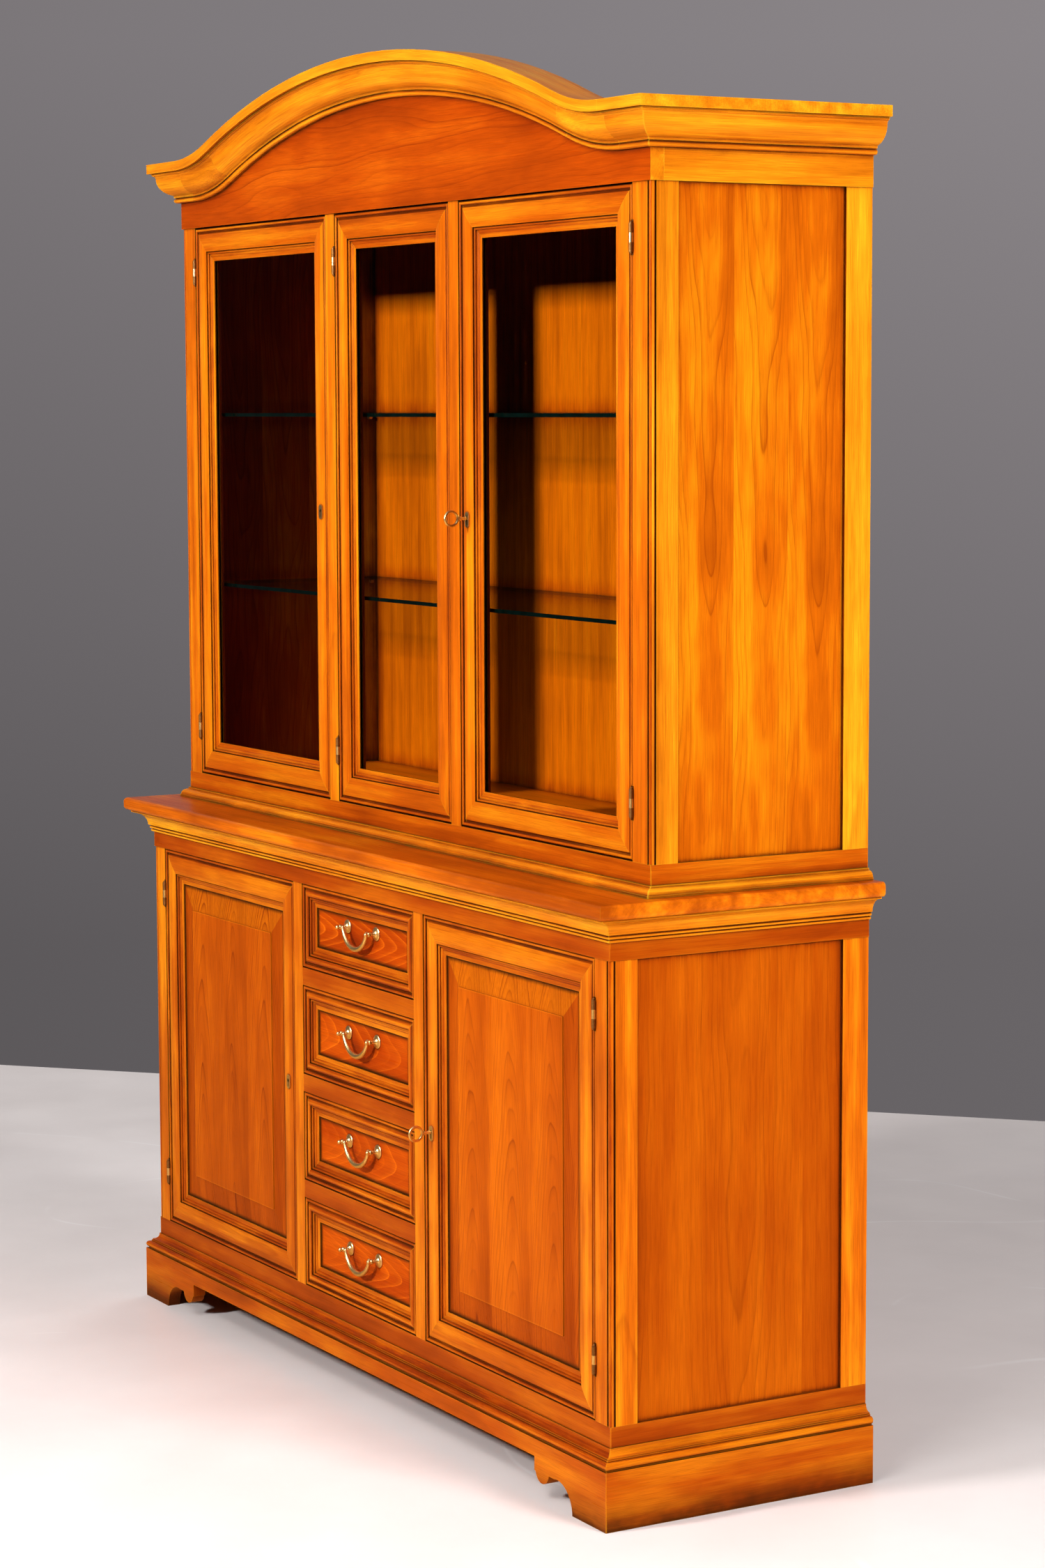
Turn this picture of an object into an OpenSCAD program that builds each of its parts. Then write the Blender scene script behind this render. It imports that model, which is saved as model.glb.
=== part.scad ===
// A two-part china cabinet: a glazed hutch with an arched cornice on a base with doors and drawers.
// The front faces -Y, +Z is up, and the origin is on the floor under the middle of the countertop.

/* [Carcass] */
// Width of the hutch over its corner posts
hutch_w = 1524; // [1515:1:1528]
// Depth of the hutch from the back to the front of its posts
hutch_d = 373; // [360:1:380]
// Width of the base over its corner posts
base_w = 1530; // [1528:1:1545]
// Depth of the base from the back to the front of its posts
base_d = 442; // [430:1:450]
// Thickness of the posts, rails and door frames
frame_t = 22; // [22:1:24]
// Thickness of a back panel
back_t = 8; // [6:1:8]

/* [Heights] */
// Top of the plinth boards
plinth_z = 87; // [80:1:90]
// Bottom of the band under the base doors
band_z = 115; // [112:1:118]
// Bottom of the base openings
base_z0 = 145; // [143:1:147]
// Top of the base openings
base_z1 = 811; // [808:1:814]
// Underside of the moulding below the countertop
cove_z = 837; // [835:1:839]
// Underside of the countertop
counter_z0 = 874; // [872:1:876]
// Top of the countertop
counter_z1 = 896; // [894:1:898]
// Top of the moulding at the foot of the hutch
foot_z = 912; // [910:1:914]
// Bottom of the hutch openings
hutch_z0 = 941; // [938:1:944]
// Top of the hutch openings
hutch_z1 = 1888; // [1884:1:1892]
// Top of the cornice at its level shoulders
shoulder_z = 2000; // [1996:1:2004]

/* [Cornice] */
// Rise of the arch above the shoulders
arch_rise = 122; // [110:1:130]
// Half the span of the arch, where it meets the shoulders
arch_half = 696; // [690:1:700]
// Radius of the crown of the arch
arch_r = 1695; // [1650:5:1750]
// Height of the whole cornice, square to its curve
cornice_h = 67; // [66:1:68]
// Thickness of the board on top of the cornice
top_t = 16; // [15:1:17]
// How far the cornice stands out from the frieze
cornice_out = 45; // [44:1:46]

/* [Countertop and plinth] */
// How far the countertop stands out from the base
counter_out = 41; // [40:1:43]
// How far the plinth stands out from the base
plinth_out = 20; // [19:1:21]
// Height of the straight edge of the apron above the floor
apron_z = 61; // [58:1:64]

/* [Fronts] */
// Half width of the middle opening of the hutch
hutch_mid = 188.5; // [186:0.5:189]
// Width of a hutch mullion
hutch_mullion_w = 30.5; // [30:0.5:31]
// Width of a hutch corner post
hutch_post_w = 48; // [47:1:49]
// Half width of the drawer opening
base_mid = 190; // [189:0.5:191]
// Width of a base mullion
base_mullion_w = 30; // [29:0.5:31]
// Width of a base corner post
base_post_w = 40.5; // [40:0.5:42]
// Depth of a corner post along the side of the cabinet
post_d = 45; // [43:1:47]
// Width of a door stile or rail
stile_w = 56; // [55:1:58]
// Width of a drawer front's border
border_w = 35; // [34:1:37]
// Height of the rails between the drawers
drawer_rail_h = 29; // [27:1:31]
// Height of the opening of each of the three lower drawers
drawer_h = 147; // [145:1:148]
// Gap between a door and its post
door_gap = 1.5; // [1.2:0.1:1.8]
// Gap above and below a door
sill_gap = 2; // [1.5:0.5:2.5]
// Gap around a drawer front
drawer_gap = 1.2; // [1:0.1:1.5]

/* [Glass] */
// Thickness of a door pane
pane_t = 4; // [4:1:5]
// Width of the bevel that shows on a door pane
bevel_w = 22; // [18:1:25]
// Thickness of a glass shelf
shelf_t = 6; // [6:1:8]

/* [Hardware] */
// Length of a hinge leaf
hinge_h = 40; // [38:1:42]
// Spacing of the two posts of a drawer pull
pull_w = 97; // [96:1:98]
// Drop of a pull's bail below its pivots, to the middle of the bar
bail_drop = 29.5; // [28:0.5:31]

/* [Hidden] */

hutch_hw = hutch_w / 2;
base_hw = base_w / 2;
frieze_out = 2;
frieze_hw = hutch_hw + frieze_out;
frieze_d = hutch_d + frieze_out;
counter_d = base_d + counter_out;
seam = 0.1;                 // gap that keeps neighbouring boards of one sub-part separate
reach = 80;                 // how far a cutting shape runs past the work
wrap = 30;                  // how far a mitre runs inwards from a corner
board_t = 18;
partition_x = base_mid + 5; // inner face of the partitions beside the drawers
base_shelf_z = 462;         // underside of the shelves in the base
recess = 5;                 // how far a side panel sits back from its posts
panel_t = 11;

cornice_z = shoulder_z - cornice_h;
moulding_h = cornice_h - top_t;
apex_z = shoulder_z + arch_rise;
reverse_r = (pow(arch_half, 2) + pow(arch_rise, 2)) / (2 * arch_rise) - arch_r;
arch_a = asin(arch_half / (arch_r + reverse_r));

groove_depth = 11;          // depth of a pane or panel behind the front of its frame
lip_drop = 9;               // depth of a frame's inner edge behind its front
overlap = 9;                // how far a frame covers the edge of its pane or panel
tongue_t = 8;

hutch_edge = hutch_mid + hutch_mullion_w;       // the mullion's outer edge
hutch_post_x = hutch_hw - hutch_post_w;         // the post's inner edge
base_edge = base_mid + base_mullion_w;
base_post_x = base_hw - base_post_w;
hutch_bottom = hutch_z0 + sill_gap;
hutch_top = hutch_z1 - sill_gap;
base_bottom = base_z0 + sill_gap / 2;
base_top = base_z1 - sill_gap / 2;

hutch_left_x = [-hutch_post_x + door_gap, -hutch_edge - door_gap];
hutch_middle_x = [-hutch_mid + door_gap, hutch_mid - door_gap];
hutch_right_x = [hutch_edge + door_gap, hutch_post_x - door_gap];
base_left_x = [-base_post_x + door_gap, -base_edge - door_gap];
base_right_x = [base_edge + door_gap, base_post_x - door_gap];
hutch_door_z = [hutch_bottom, hutch_top];
base_door_z = [base_bottom, base_top];

pin_r = 1.5;
knuckle_r = 3.6;
knuckle_half = hinge_h * 0.165; // half the length of the middle knuckle
leaf_t = 1.5;
leaf_w = 20.5;
axis_out = 1.5;             // how far a hinge pin stands in front of the cabinet's face
running = 0.05;             // radial clearance of a turning pin
hutch_hinge_z = [1024, 1812];
base_hinge_z = [234, 731];

key_w = 23;                 // from the door's free edge to the keyhole
hutch_key_z = 1412;
base_key_z = 477;
case_w = 34;
case_h = 40;
case_t = 10;
case_depth = 7;
wall = 1.5;
bolt_z = 13.5;              // middle of the bolt above the keyhole
bolt_h = 7;
bolt_t = 5.6;
bolt_l = 29;
bolt_play = 0.2;
shaft_r = 2.2;
bow_r = 10.8;
bow_out = 27.5;

catch_x = hutch_middle_x[1] - 30;
catch_in = 14;              // the ball catch's axis behind the front of its door
catch_r = 4;
catch_l = 16;

drawer_count = 4;
lower_step = drawer_h + drawer_rail_h;
box_lift = 6;               // a drawer box's underside above the bottom of its opening
box_drop = 14;              // a drawer box's top edge below the top of its opening
box_bottom_lift = 8;        // a drawer's bottom above the lower edge of its sides
box_hw = 183;
box_back = 60;
box_side_t = 12;
box_bottom_t = 6;
runner_gap = 0.3;

pivot_out = 13.5;           // a pull's pivot in front of the drawer panel
post_x = pull_w / 2;
bail_x = post_x - 8;
bail_r = 3.2;
bail_arc_r = (pow(bail_x, 2) + pow(bail_drop, 2)) / (2 * bail_drop);
bail_a = asin((bail_arc_r - bail_drop) / bail_arc_r);
pull_lift = 15;             // a pull's pivots above the middle of its drawer

shelf_tops = [1276, 1570];
shelf_front = 345;
shelf_back = 12;
pin_shelf_r = 3;

cherry = "peru";
red_cherry = "sienna";
brass = "goldenrod";
glass = "lightcyan";
plain_wood = "burlywood";

// y of the plane that stands d in front of the cabinet's back
function fy(d) = counter_d / 2 - d;
function arc(c, r, a0, a1, n) = [for (i = [0:n]) let (a = a0 + (a1 - a0) * i / n) c + r * [cos(a), sin(a)]];
// Bottom of the opening of drawer i, counted from the top
function drawer_z0(i) = base_z0 + (drawer_count - i) * lower_step;
function drawer_z1(i) = i == 1 ? base_z1 : drawer_z0(i) + drawer_h;
function drawer_mid(i) = (drawer_z0(i) + drawer_z1(i)) / 2;

// ---- Sections ----

// Section of a mitred frame: x from its outer to its inner edge, y from its front to its back.
// With a groove it holds a panel; without one it has an open rebate for glass.
module frame_section(w, grooved) {
    bead_r = 2.8;
    crown_start = 9.8;
    crown = w - crown_start - 16.2;
    crown_end = crown_start + crown;
    dip = 1.4;
    crown_r = (pow(crown / 2, 2) + dip * dip) / (2 * dip);
    crown_a = asin(crown / 2 / crown_r);
    small_r = 2;
    front = concat(
        arc([bead_r, bead_r], bead_r, 180, 360, 8),
        [[2 * bead_r, 4], [2 * bead_r + 1.2, 4.4], [2 * bead_r + 2.4, 3.4]],
        arc([crown_start + crown / 2, crown_r], crown_r, 270 - crown_a, 270 + crown_a, 8),
        [[crown_end, 3.4]],
        arc([crown_end + 2.4, 5.4], small_r, 180, 360, 6),
        [[crown_end + 4.4, 6.4], [crown_end + 5.6, 6.8]],
        arc([crown_end + 5.6, 12.4], 5.6, 270, 316, 4),
        [[w - 4, lip_drop - 0.4], [w, lip_drop], [w, groove_depth], [w - overlap, groove_depth]]);
    back = grooved
        ? [[w - overlap, groove_depth + tongue_t], [w, groove_depth + tongue_t], [w, frame_t], [0, frame_t]]
        : [[w - overlap, frame_t], [0, frame_t]];
    polygon(concat(front, back));
}

module glazing_bead_section(w) {
    start = w - overlap + seam;
    depth = groove_depth + pane_t;
    polygon([[start, depth], [w - 1, depth], [w - 1, depth + 2], [w - 4, frame_t], [start, frame_t]]);
}

// One member of a mitred frame: it stands on z = 0, its outer edge is at x = 0 and its front at y = 0
module mitred_member(length, w) {
    intersection() {
        linear_extrude(length) children();
        translate([0, frame_t + 1, 0])
            rotate([90, 0, 0])
                linear_extrude(frame_t + 2)
                    polygon([[-1, -1 + seam], [w + 1, w + 1 + seam],
                             [w + 1, length - w - 1 - seam], [-1, length + 1 - seam]]);
    }
}

// Four mitred members round the rectangle xs, zs. children(0) is the section and children(1) is cut away.
module mitred_frame(xs, zs, d, w) {
    wide = xs[1] - xs[0];
    high = zs[1] - zs[0];
    starts = [[xs[0], zs[0], high], [xs[0], zs[1], wide], [xs[1], zs[1], high], [xs[1], zs[0], wide]];
    for (k = [0:3]) {
        difference() {
            translate([starts[k][0], fy(d), starts[k][1]])
                rotate([0, 90 * k, 0])
                    mitred_member(starts[k][2], w) children(0);
            if ($children > 1) children(1);
        }
    }
}

// A profile whose x is the distance out from the front face at depth d, run along the front
module run_x(half, d) {
    translate([-half, fy(d), 0])
        mirror([0, 1, 0])
            rotate([90, 0, 90])
                linear_extrude(2 * half) children();
}

// The same profile run along the right-hand side at x
module run_y(x, d) {
    translate([x, fy(0), 0])
        rotate([90, 0, 0])
            linear_extrude(d + reach) children();
}

module front_wedge(half, d) {
    translate([0, 0, -1])
        linear_extrude(apex_z + reach)
            polygon([[-half - reach + seam, fy(d) - reach], [half + reach - seam, fy(d) - reach],
                     [half - wrap - seam, fy(d) + wrap], [-half + wrap + seam, fy(d) + wrap]]);
}

module side_wedge(half, d) {
    translate([0, 0, -1])
        linear_extrude(apex_z + reach)
            polygon([[half - wrap, fy(d) + wrap], [half + reach, fy(d) - reach],
                     [half + reach, fy(0)], [half - wrap, fy(0)]]);
}

// A profile run round the front and both sides of a carcass, mitred at the front corners
module three_sided(half, d) {
    intersection() {
        run_x(half + reach, d) children();
        front_wedge(half, d);
    }
    side_pair(half, d) children();
}

module side_pair(half, d) {
    for (s = [0, 1])
        mirror([s, 0, 0])
            intersection() {
                run_y(half, d) children();
                side_wedge(half, d);
            }
}

// A board given by its x, depth and z limits
module board(xs, ds, zs) {
    translate([xs[0], fy(ds[1]), zs[0]])
        cube([xs[1] - xs[0], ds[1] - ds[0], zs[1] - zs[0]]);
}

module both_sides() {
    for (s = [0, 1])
        mirror([s, 0, 0]) children();
}

module band_section(z0, z1, out) {
    translate([-frame_t, z0]) square([frame_t + out, z1 - z0]);
}

// ---- Plinth ----

module apron_cutout() {
    foot_x = base_hw + plinth_out - 92;
    foot_r = 42;
    lobe_x = 608;
    lobe_z = 44;
    lobe_r = 19;
    inner_x = 586;
    translate([-inner_x, -1]) square([2 * inner_x, apron_z + 1]);
    both_sides() {
        difference() {
            union() {
                translate([inner_x - 1, -1]) square([foot_x - foot_r - inner_x + 1, foot_r]);
                intersection() {
                    translate([foot_x - foot_r, 0]) circle(foot_r, $fn = 96);
                    translate([inner_x, -1]) square([200, foot_r + 1]);
                }
            }
            translate([lobe_x, lobe_z]) circle(lobe_r, $fn = 96);
            translate([inner_x - 1, lobe_z - 4]) square([lobe_x - inner_x, 30]);
        }
    }
}

module plinth_boards() {
    color(cherry) {
        difference() {
            three_sided(base_hw, base_d)
                translate([-2, 0]) square([plinth_out + 2, plinth_z]);
            translate([0, fy(base_d) + 10, 0])
                rotate([90, 0, 0])
                    linear_extrude(60) apron_cutout();
        }
        board([-base_hw + frame_t, base_hw - frame_t], [0, 20], [0, band_z]);
    }
}

module plinth_moulding() {
    z = plinth_z;
    color(cherry)
        three_sided(base_hw, base_d)
            polygon(concat(
                [[-frame_t, z], [plinth_out - 3.6, z], [plinth_out - 3.6, z + 1.5]],
                arc([plinth_out - 5.6, z + 7], 5.5, -75, 90, 10),
                [[plinth_out - 7.5, z + 12.5], [plinth_out - 7.5, z + 15], [plinth_out - 9, z + 15]],
                arc([plinth_out - 9, z + 26], 9, -90, -170, 6),
                [[2, z + 25], [2, band_z], [-frame_t, band_z]]));
}

// ---- Base carcass ----

module base_bottom_band() {
    color(cherry) three_sided(base_hw, base_d) band_section(band_z, base_z0, 0);
}

module base_top_band() {
    color(red_cherry) three_sided(base_hw, base_d) band_section(base_z1, cove_z, 1);
}

// An L-shaped corner post with a quirked bead on its outer arris, at the right-hand front corner
module corner_post(half, d, inner_x, zs) {
    bead_r = 4;
    quirk = 9;
    linear_extrude_between(zs) {
        difference() {
            union() {
                translate([inner_x, fy(d)]) square([half - inner_x, frame_t]);
                translate([half - frame_t, fy(d)]) square([frame_t, post_d]);
            }
            translate([half - quirk, fy(d) - 1]) square([quirk + 1, quirk + 1]);
        }
        translate([half - bead_r, fy(d) + bead_r]) circle(bead_r, $fn = 48);
        translate([half - quirk, fy(d) + bead_r - 1.2]) square([quirk - bead_r, quirk - bead_r + 1.2]);
        translate([half - quirk, fy(d) + bead_r]) square([quirk - bead_r + 1.2, quirk - bead_r]);
    }
}

module linear_extrude_between(zs) {
    translate([0, 0, zs[0]]) linear_extrude(zs[1] - zs[0]) children();
}

module base_posts() {
    color(cherry) {
        both_sides()
            difference() {
                corner_post(base_hw, base_d, base_post_x, [base_z0, base_z1]);
                hinge_places(base_post_x - door_gap / 2, -1, base_d, base_hinge_z) hinge_mortise();
            }
        both_sides()
            board([base_hw - frame_t, base_hw], [0, post_d], [base_z0, base_z1]);
    }
}

module base_mullions() {
    color(cherry)
        both_sides()
            difference() {
                board([base_mid, base_edge], [base_d - frame_t, base_d], [base_z0, base_z1]);
                bolt_mortise(base_edge, base_d, base_key_z);
            }
}

module drawer_rails() {
    color(cherry)
        for (i = [1:drawer_count - 1])
            board([-base_mid, base_mid], [base_d - frame_t, base_d], [drawer_z1(i + 1), drawer_z0(i)]);
}

module base_inner_boards() {
    inner = base_hw - frame_t;
    front = base_d - frame_t;
    color(plain_wood) {
        board([-inner, inner], [back_t, front], [base_z0 - board_t, base_z0 - seam]);
        board([-inner, inner], [back_t, front], [base_z1 + seam, base_z1 + board_t]);
        both_sides()
            board([partition_x, partition_x + board_t], [back_t, front], [base_z0, base_z1]);
    }
}

module base_shelves() {
    color(plain_wood)
        both_sides()
            board([partition_x + board_t + 1, base_hw - frame_t - 1], [back_t + 2, base_d - 60],
                  [base_shelf_z, base_shelf_z + board_t]);
}

module drawer_runners() {
    color(plain_wood)
        for (i = [1:drawer_count])
            both_sides() {
                top = drawer_z0(i) + box_lift - runner_gap;
                board([box_hw - box_side_t - 1, partition_x], [back_t, base_d - frame_t],
                      [i == drawer_count ? base_z0 : top - board_t, top]);
            }
}

module side_panels() {
    color(cherry)
        both_sides() {
            board([base_hw - recess - panel_t, base_hw - recess], [post_d, base_d - post_d],
                  [base_z0, base_z1]);
            board([hutch_hw - recess - panel_t, hutch_hw - recess], [post_d, hutch_d - post_d],
                  [hutch_z0, hutch_z1]);
        }
}

module back_panels() {
    color(plain_wood) {
        board([-base_hw + frame_t, base_hw - frame_t], [0, back_t], [band_z, counter_z0]);
        board([-hutch_hw + frame_t, hutch_hw - frame_t], [0, back_t], [counter_z1, shoulder_z - top_t]);
    }
}

// ---- Countertop ----

module counter_moulding() {
    z = cove_z;
    color(red_cherry)
        three_sided(base_hw, base_d)
            polygon(concat(
                [[-frame_t, z], [2.5, z]],
                arc([3, z + 2.4], 2.4, -90, 90, 6),
                [[4, z + 5.2]],
                arc([4.6, z + 7.8], 2.4, -90, 80, 6),
                [[6.5, z + 11]],
                arc([30, z + 12], 21, 180, 100, 8),
                [[28, counter_z0 - 3.6], [31.5, counter_z0 - 3.6], [31.5, counter_z0],
                 [-frame_t, counter_z0]]));
}

module slab_section(half, z0, z1, r) {
    translate([-half, z0 + r]) square([2 * half, z1 - z0 - 2 * r]);
    translate([-half + r, z0]) square([2 * (half - r), z1 - z0]);
    for (x = [-half + r, half - r], z = [z0 + r, z1 - r])
        translate([x, z]) circle(r, $fn = 48);
}

module countertop() {
    half = base_hw + counter_out;
    edge_r = 7;
    long = 2 * (half + reach);
    color(cherry)
        intersection() {
            translate([0, half + reach, 0])
                rotate([90, 0, 0])
                    linear_extrude(long) slab_section(half, counter_z0, counter_z1, edge_r);
            intersection() {
                translate([-half - reach, 0, 0])
                    rotate([90, 0, 90])
                        linear_extrude(long)
                            translate([reach / 2, 0])
                                slab_section(counter_d / 2 + reach / 2, counter_z0, counter_z1, edge_r);
                board([-half - 1, half + 1], [0, counter_d + 1], [counter_z0 - 1, counter_z1 + 1]);
            }
        }
}

// ---- Hutch carcass ----

module hutch_foot_moulding() {
    z = counter_z1;
    out = 14;
    color(red_cherry)
        three_sided(hutch_hw, hutch_d)
            polygon(concat(
                [[-frame_t, z], [out, z], [out, z + 3.5]],
                arc([3.5, z + 3.5], out - 4.5, 0, 80, 6),
                [[3, z + 13.4], [3, foot_z], [-frame_t, foot_z]]));
}

module hutch_bottom_band() {
    color(cherry) three_sided(hutch_hw, hutch_d) band_section(foot_z, hutch_z0, 0);
}

module hutch_posts() {
    color(cherry) {
        both_sides()
            difference() {
                corner_post(hutch_hw, hutch_d, hutch_post_x, [hutch_z0, hutch_z1]);
                hinge_places(hutch_post_x - door_gap / 2, -1, hutch_d, hutch_hinge_z) hinge_mortise();
                side_pin_shapes();
            }
        both_sides()
            difference() {
                board([hutch_hw - frame_t, hutch_hw], [0, post_d], [hutch_z0, hutch_z1]);
                side_pin_shapes();
            }
    }
}

module hutch_mullions() {
    color(cherry) {
        difference() {
            board([-hutch_edge, -hutch_mid], [hutch_d - frame_t, hutch_d], [hutch_z0, hutch_z1]);
            hinge_places(-hutch_mid + door_gap / 2, 1, hutch_d, hutch_hinge_z) hinge_mortise();
            middle_pin_shapes();
        }
        difference() {
            board([hutch_mid, hutch_edge], [hutch_d - frame_t, hutch_d], [hutch_z0, hutch_z1]);
            bolt_mortise(hutch_edge, hutch_d, hutch_key_z);
            middle_pin_shapes();
        }
    }
}

module hutch_deck_and_ceiling() {
    inner = hutch_hw - frame_t;
    color(plain_wood) {
        board([-inner, inner], [back_t, hutch_d - frame_t], [hutch_z0 - board_t, hutch_z0]);
        board([-inner - frieze_out, inner + frieze_out], [back_t, hutch_d - frame_t + frieze_out],
              [hutch_z1, hutch_z1 + board_t]);
    }
}

module glass_shelves() {
    color(glass)
        for (z = shelf_tops)
            board([-hutch_hw + frame_t + 3, hutch_hw - frame_t - 3], [shelf_back, shelf_front],
                  [z - shelf_t, z]);
}

// Shelf pins in the right-hand side of the hutch, one near the back and one near the front for each shelf
module side_pin_shapes() {
    for (top = shelf_tops, d = [post_d / 2, hutch_d - 35])
        translate([hutch_hw - frame_t - 9, fy(d), top - shelf_t - pin_shelf_r])
            rotate([0, 90, 0])
                cylinder(h = 17, r = pin_shelf_r, $fn = 32);
}

// Shelf pins that stand back from the mullions
module middle_pin_shapes() {
    for (top = shelf_tops)
        both_sides()
            translate([hutch_mid + hutch_mullion_w / 2, fy(hutch_d - frame_t - 16),
                       top - shelf_t - pin_shelf_r])
                rotate([90, 0, 0])
                    cylinder(h = 24, r = pin_shelf_r, $fn = 32);
}

module shelf_pins() {
    color(brass) {
        both_sides() side_pin_shapes();
        middle_pin_shapes();
    }
}

// ---- Frieze and cornice ----

// The region under the arch, lowered by off, down to z0 and out to x = +-half
module under_arch(half, z0, off) {
    r1 = arch_r - off;
    tangent_x = r1 * sin(arch_a);
    tangent_z = apex_z - arch_r + r1 * cos(arch_a);
    level = shoulder_z - off;
    translate([-half, z0]) square([2 * half, level - z0]);
    intersection() {
        translate([0, apex_z - arch_r]) circle(r1, $fn = 720);
        translate([-tangent_x, level - 1]) square([2 * tangent_x, arch_rise + 2]);
    }
    both_sides()
        difference() {
            translate([tangent_x, level - 1]) square([arch_half - tangent_x, tangent_z - level + 1]);
            translate([arch_half, shoulder_z + reverse_r]) circle(reverse_r + off, $fn = 360);
        }
}

module frieze() {
    color(red_cherry) {
        translate([0, fy(frieze_d - frame_t), 0])
            rotate([90, 0, 0])
                linear_extrude(frame_t) under_arch(frieze_hw, hutch_z1, top_t);
        both_sides()
            board([frieze_hw - frame_t, frieze_hw], [0, frieze_d - frame_t - seam],
                  [hutch_z1, shoulder_z - top_t]);
    }
}

// The cornice moulding's section: x out from the frieze, y up from its lower edge
function cornice_points() = concat(
    [[0, 0], [5.5, 0]],
    arc([5.8, 4.2], 3.8, -80, 70, 7),
    [[7.2, 9], [9.6, 9], [9.6, 12.5]],
    arc([3.4, 42], 29.6, -70, 0, 9),
    arc([38, 42], 5, 180, 95, 4),
    [[38, moulding_h - 2], [cornice_out - 6, moulding_h - 2],
     [cornice_out - 6, moulding_h], [0, moulding_h]]);

function board_points() = [[-frame_t, moulding_h], [cornice_out, moulding_h],
                           [cornice_out, cornice_h], [-frame_t, cornice_h]];

// A section swept along the crown and the two reversed curves of the arch.
// gap is the angle left open at each joint.
module arch_sweep(points, gap) {
    crown = arch_a - gap;
    translate([0, fy(frieze_d), apex_z - arch_r])
        rotate([90, 0, 0])
            rotate([0, 0, 90 - crown])
                rotate_extrude(angle = 2 * crown, $fn = 720)
                    polygon([for (p = points) [arch_r - cornice_h + p[1], p[0]]]);
    both_sides()
        translate([arch_half, fy(frieze_d), shoulder_z + reverse_r])
            rotate([90, 0, 0])
                rotate([0, 0, -90 - arch_a])
                    rotate_extrude(angle = arch_a, $fn = 360)
                        polygon([for (p = points) [reverse_r + cornice_h - p[1], p[0]]]);
}

module cornice_moulding() {
    lifted = [for (p = cornice_points()) [p[0], p[1] + cornice_z]];
    color(cherry) {
        arch_sweep(cornice_points(), 0.003);
        both_sides()
            intersection() {
                run_x(frieze_hw + reach, frieze_d) polygon(lifted);
                front_wedge(frieze_hw, frieze_d);
                translate([arch_half + seam, fy(frieze_d) - 200, cornice_z - 1]) cube([300, 300, cornice_h]);
            }
        side_pair(frieze_hw, frieze_d) polygon(lifted);
    }
}

module top_board() {
    color(cherry) {
        arch_sweep(board_points(), 0);
        board([-arch_half + seam, arch_half - seam], [0, frieze_d - frame_t - seam],
              [shoulder_z - top_t, shoulder_z]);
        both_sides()
            board([arch_half, frieze_hw + cornice_out], [0, frieze_d + cornice_out],
                  [shoulder_z - top_t, shoulder_z]);
    }
}

// ---- Hinges ----

// Puts its children at each hinge of a door, with the pin on z and the door on +x
module hinge_places(x, side, d, zs) {
    for (z = zs)
        translate([x, fy(d) - axis_out, z])
            mirror([side < 0 ? 1 : 0, 0, 0]) children();
}

module hinge_mortise() {
    half = door_gap / 2 + leaf_t;
    translate([-half, 0, -hinge_h / 2]) cube([2 * half, leaf_w, hinge_h]);
    translate([0, 0, -hinge_h / 2 - 4.5]) cylinder(h = hinge_h + 9, r = knuckle_r + 0.3, $fn = 48);
}

module hinge_door_leaf() {
    difference() {
        union() {
            cylinder(h = 2 * (knuckle_half - running), r = knuckle_r, center = true, $fn = 48);
            translate([door_gap / 2, 0, -hinge_h / 2]) cube([leaf_t, leaf_w, hinge_h]);
        }
        cylinder(h = 3 * hinge_h, r = pin_r + running, center = true, $fn = 48);
        both_ends()
            translate([0, 0, knuckle_half - running])
                cylinder(h = hinge_h, r = knuckle_r + 0.2, $fn = 48);
    }
}

module both_ends() {
    for (s = [0, 1])
        mirror([0, 0, s]) children();
}

module hinge_fixed_leaf() {
    difference() {
        union() {
            both_ends()
                translate([0, 0, knuckle_half])
                    cylinder(h = hinge_h / 2 - knuckle_half, r = knuckle_r, $fn = 48);
            translate([-door_gap / 2 - leaf_t, 0, -hinge_h / 2]) cube([leaf_t, leaf_w, hinge_h]);
        }
        cylinder(h = 2 * knuckle_half, r = knuckle_r + 0.2, center = true, $fn = 48);
    }
    cylinder(h = 2 * knuckle_half + 2, r = pin_r, center = true, $fn = 48);
    both_ends()
        translate([0, 0, hinge_h / 2])
            rotate_extrude($fn = 48)
                polygon([[0, -1], [2.3, -1], [2.3, 1.6], [1.5, 2.6], [0, 2.6]]);
}

module hinge_fixed_halves() {
    color(brass) {
        both_sides() {
            hinge_places(hutch_post_x - door_gap / 2, -1, hutch_d, hutch_hinge_z) hinge_fixed_leaf();
            hinge_places(base_post_x - door_gap / 2, -1, base_d, base_hinge_z) hinge_fixed_leaf();
        }
        hinge_places(-hutch_mid + door_gap / 2, 1, hutch_d, hutch_hinge_z) hinge_fixed_leaf();
    }
}

// ---- Locks and keys ----
// Their local frame has the door's free edge at x = 0, its front at y = 0 and the keyhole at z = 0.

module lock_place(x, d, z) {
    translate([x, fy(d), z])
        mirror([x < 0 ? 1 : 0, 0, 0]) children();
}

module keyhole_bore(r, length) {
    translate([key_w, length, 0]) rotate([90, 0, 0]) cylinder(h = length + 5, r = r, $fn = 48);
}

module lock_pocket() {
    translate([-1, case_depth, -case_h / 2]) cube([case_w + 1, case_t, case_h]);
    keyhole_bore(3.2, case_depth + 1);
}

module bolt_mortise(x, d, z) {
    lock_place(x, d, z)
        translate([-8, case_depth + case_t / 2 - bolt_t / 2 - 0.4, bolt_z - bolt_h / 2 - 0.4])
            cube([9, bolt_t + 0.8, bolt_h + 0.8]);
}

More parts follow.
